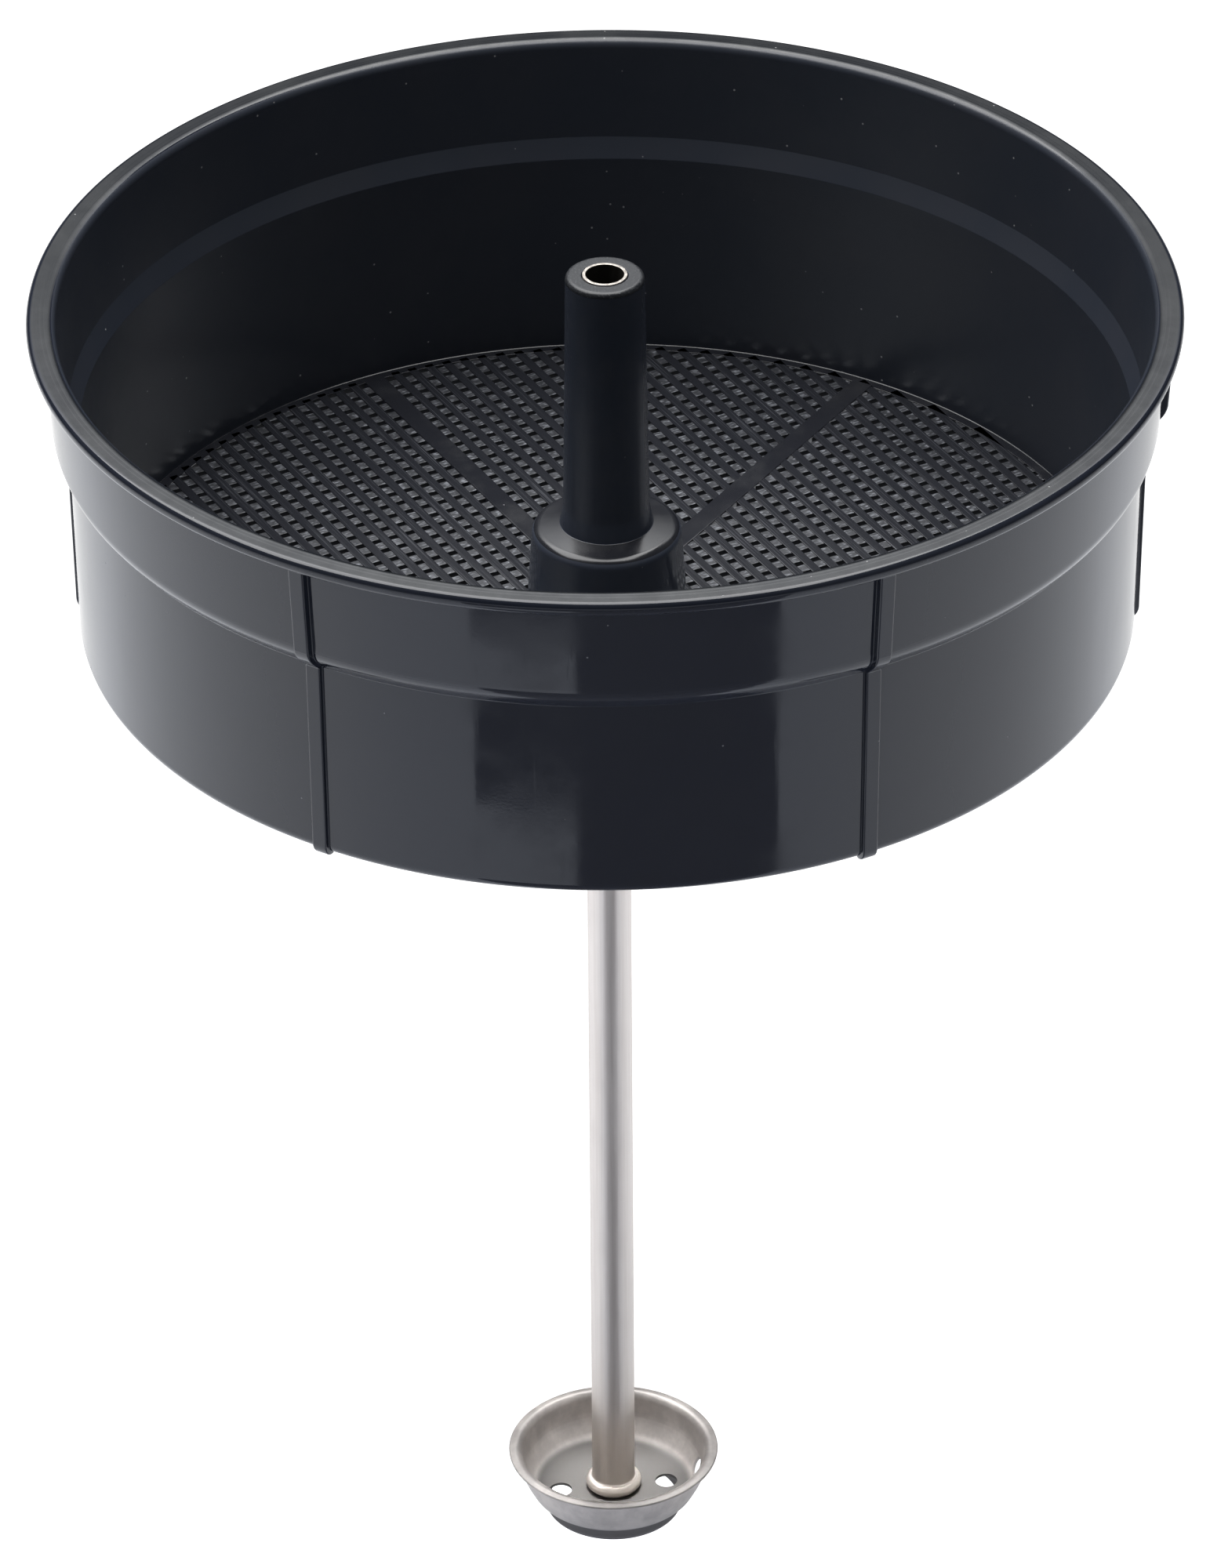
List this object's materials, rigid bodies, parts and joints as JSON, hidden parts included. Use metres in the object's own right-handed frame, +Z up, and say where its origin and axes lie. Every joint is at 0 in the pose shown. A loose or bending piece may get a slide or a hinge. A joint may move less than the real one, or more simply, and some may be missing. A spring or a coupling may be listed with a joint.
{
  "type": "percolator urn filter basket",
  "caption": "Round plastic coffee filter basket with a sieve floor and hollow centre stem, standing on a stainless riser tube with a pressed foot cup and rubber seal.",
  "frame": {"origin": "centre of the foot seal's underside, on the riser tube's axis", "axes": "+Z up along the riser tube; -Y is the side seen in front"},
  "size_m": [0.254, 0.254, 0.3326],
  "materials": {
    "basket_plastic": "glossy blue-black moulded plastic",
    "sieve_plastic": "satin dark plastic lattice with fine lengthwise lines",
    "tube_steel": "drawn stainless, fine satin, warm heat tint near the foot",
    "cup_steel": "pressed stainless, satin with handling marks",
    "seal_rubber": "matte dark grey rubber"
  },
  "bodies": {
    "pump": {"riser_tube": "tube_steel", "foot_cup": "cup_steel", "foot_seal": "seal_rubber"},
    "basket": {"basket_shell": "basket_plastic", "sieve_floor": "sieve_plastic", "centre_hub": "basket_plastic"}
  },
  "joints": [
    {"name": "basket_lift", "type": "slide", "parent": "pump", "child": "basket", "axis": [0, 0, 1], "range_m": [0, 0.09]}
  ]
}
